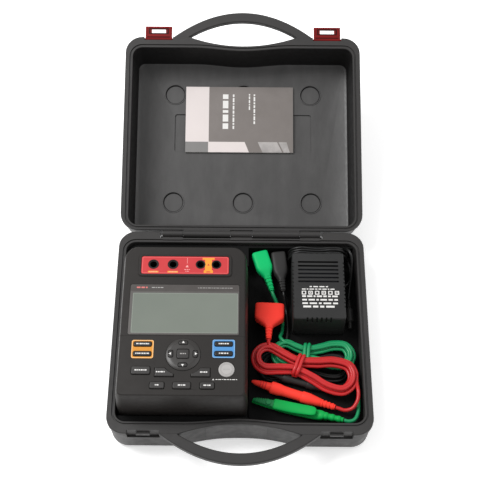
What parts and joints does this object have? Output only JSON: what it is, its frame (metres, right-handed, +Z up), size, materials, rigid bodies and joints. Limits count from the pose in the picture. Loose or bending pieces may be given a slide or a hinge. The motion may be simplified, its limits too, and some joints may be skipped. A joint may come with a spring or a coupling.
{
  "type": "insulation resistance tester kit",
  "caption": "Open carrying case with a hinged lid, holding an insulation resistance tester, its adaptor, coloured test leads with plugs and clips, and a booklet.",
  "frame": {"origin": "centre of the underside of the case base", "axes": "+X to the right, +Y back towards the hinge and the open lid, +Z up"},
  "size_m": [0.316, 0.6037, 0.1495],
  "materials": {
    "case_plastic": "fine matt grain",
    "foam_black": "dense black foam",
    "latch_red": "satin",
    "steel_bright": "drawn wire",
    "housing_plastic": "fine matt grain",
    "panel_red": "smooth satin",
    "socket_black": "smooth",
    "window_clear": "clear, dark border printed behind",
    "lcd_green": "grey-green display glass",
    "board_green": "solder mask",
    "rubber_grey": "moulded silicone",
    "cell_sleeve": "shrink sleeve",
    "plate_orange": "printed",
    "plate_blue": "printed",
    "key_dark": "satin moulded key with printed mark",
    "key_pale": "satin moulded key",
    "adaptor_plastic": "matt grain",
    "lead_green": "soft satin",
    "lead_red": "soft satin",
    "lead_black": "soft satin",
    "booklet_paper": "coated paper"
  },
  "bodies": {
    "case": {"adaptor_base": "adaptor_plastic", "adaptor_housing": "adaptor_plastic", "adaptor_transformer": "cell_sleeve", "black_hank": "lead_black", "black_lead": "lead_black", "black_lead_tail": "lead_black", "black_plug": "lead_black", "black_probe": "lead_black", "case_base": "case_plastic", "dc_hank": "lead_black", "dc_lead": "lead_black", "dc_lead_tail": "lead_black", "dc_plug": "lead_black", "foam_insert": "foam_black", "green_clip": "lead_green", "green_hank": "lead_green", "green_lead": "lead_green", "green_lead_tail": "lead_green", "green_plug": "lead_green", "hinge_pin": "steel_bright", "red_hank": "lead_red", "red_lead_tail": "lead_red", "red_plug": "lead_red", "red_probe": "lead_red"},
    "lid": {"case_lid": "case_plastic", "manual_booklet": "booklet_paper"},
    "latch_left": {"latch_left": "latch_red"},
    "latch_right": {"latch_right": "latch_red"},
    "tester": {"tester_lower_housing": "housing_plastic", "tester_upper_housing": "housing_plastic", "battery_door": "housing_plastic", "direction_pad": "housing_plastic", "terminal_panel": "panel_red", "terminal_block": "socket_black", "display_window": "window_clear", "lcd_module": "lcd_green", "main_board": "board_green", "keypad_mat": "rubber_grey", "battery_bank_left": "cell_sleeve", "battery_bank_right": "cell_sleeve", "orange_key_plate": "plate_orange", "blue_key_plate": "plate_blue"},
    "green_clip_jaw": {"green_clip_jaw": "lead_green"},
    "key_blue_lower": {"key_blue_lower": "key_dark"},
    "key_blue_upper": {"key_blue_upper": "key_dark"},
    "key_compare": {"key_compare": "key_dark"},
    "key_down": {"key_down": "key_dark"},
    "key_enter": {"key_enter": "key_dark"},
    "key_left": {"key_left": "key_dark"},
    "key_mode_left": {"key_mode_left": "key_dark"},
    "key_mode_middle": {"key_mode_middle": "key_dark"},
    "key_mode_right": {"key_mode_right": "key_dark"},
    "key_orange_lower": {"key_orange_lower": "key_dark"},
    "key_orange_upper": {"key_orange_upper": "key_dark"},
    "key_power": {"key_power": "key_dark"},
    "key_right": {"key_right": "key_dark"},
    "key_test": {"key_test": "key_pale"},
    "key_timer": {"key_timer": "key_dark"},
    "key_up": {"key_up": "key_dark"}
  },
  "joints": [
    {"name": "lid_hinge", "type": "hinge", "parent": "case", "child": "lid", "pos_m": [0, 0.137, 0.05], "axis": [1, 0, 0], "range_deg": [0, 161]},
    {"name": "latch_left_hinge", "type": "hinge", "parent": "lid", "child": "latch_left", "pos_m": [-0.114, 0.39463, 0.13448], "axis": [1, 0, 0], "range_deg": [0, 90]},
    {"name": "latch_right_hinge", "type": "hinge", "parent": "lid", "child": "latch_right", "pos_m": [0.114, 0.39463, 0.13448], "axis": [1, 0, 0], "range_deg": [0, 90]},
    {"name": "tester_lift", "type": "slide", "parent": "case", "child": "tester", "axis": [0, 0, -1], "range_m": [-0.1, 0]},
    {"name": "green_jaw_hinge", "type": "hinge", "parent": "case", "child": "green_clip_jaw", "pos_m": [0.0666, -0.09921, 0.03679], "axis": [0.2261, 0.9741, 0], "range_deg": [0, 9], "stiffness_Nm_per_rad": 0.2, "springref_deg": -8.59},
    {"name": "key_blue_lower_press", "type": "slide", "parent": "tester", "child": "key_blue_lower", "axis": [0, 0, -1], "range_m": [0, 0.001], "stiffness_N_per_m": 300, "springref_m": -0.0005},
    {"name": "key_blue_upper_press", "type": "slide", "parent": "tester", "child": "key_blue_upper", "axis": [0, 0, -1], "range_m": [0, 0.001], "stiffness_N_per_m": 300, "springref_m": -0.0005},
    {"name": "key_compare_press", "type": "slide", "parent": "tester", "child": "key_compare", "axis": [0, 0, -1], "range_m": [0, 0.001], "stiffness_N_per_m": 300, "springref_m": -0.0005},
    {"name": "key_down_press", "type": "slide", "parent": "tester", "child": "key_down", "axis": [0, 0, -1], "range_m": [0, 0.001], "stiffness_N_per_m": 300, "springref_m": -0.0005},
    {"name": "key_enter_press", "type": "slide", "parent": "tester", "child": "key_enter", "axis": [0, 0, -1], "range_m": [0, 0.001], "stiffness_N_per_m": 300, "springref_m": -0.0005},
    {"name": "key_left_press", "type": "slide", "parent": "tester", "child": "key_left", "axis": [0, 0, -1], "range_m": [0, 0.001], "stiffness_N_per_m": 300, "springref_m": -0.0005},
    {"name": "key_mode_left_press", "type": "slide", "parent": "tester", "child": "key_mode_left", "axis": [0, 0, -1], "range_m": [0, 0.001], "stiffness_N_per_m": 300, "springref_m": -0.0005},
    {"name": "key_mode_middle_press", "type": "slide", "parent": "tester", "child": "key_mode_middle", "axis": [0, 0, -1], "range_m": [0, 0.001], "stiffness_N_per_m": 300, "springref_m": -0.0005},
    {"name": "key_mode_right_press", "type": "slide", "parent": "tester", "child": "key_mode_right", "axis": [0, 0, -1], "range_m": [0, 0.001], "stiffness_N_per_m": 300, "springref_m": -0.0005},
    {"name": "key_orange_lower_press", "type": "slide", "parent": "tester", "child": "key_orange_lower", "axis": [0, 0, -1], "range_m": [0, 0.001], "stiffness_N_per_m": 300, "springref_m": -0.0005},
    {"name": "key_orange_upper_press", "type": "slide", "parent": "tester", "child": "key_orange_upper", "axis": [0, 0, -1], "range_m": [0, 0.001], "stiffness_N_per_m": 300, "springref_m": -0.0005},
    {"name": "key_power_press", "type": "slide", "parent": "tester", "child": "key_power", "axis": [0, 0, -1], "range_m": [0, 0.001], "stiffness_N_per_m": 300, "springref_m": -0.0005},
    {"name": "key_right_press", "type": "slide", "parent": "tester", "child": "key_right", "axis": [0, 0, -1], "range_m": [0, 0.001], "stiffness_N_per_m": 300, "springref_m": -0.0005},
    {"name": "key_test_press", "type": "slide", "parent": "tester", "child": "key_test", "axis": [0, 0, -1], "range_m": [0, 0.001], "stiffness_N_per_m": 300, "springref_m": -0.0005},
    {"name": "key_timer_press", "type": "slide", "parent": "tester", "child": "key_timer", "axis": [0, 0, -1], "range_m": [0, 0.001], "stiffness_N_per_m": 300, "springref_m": -0.0005},
    {"name": "key_up_press", "type": "slide", "parent": "tester", "child": "key_up", "axis": [0, 0, -1], "range_m": [0, 0.001], "stiffness_N_per_m": 300, "springref_m": -0.0005}
  ]
}
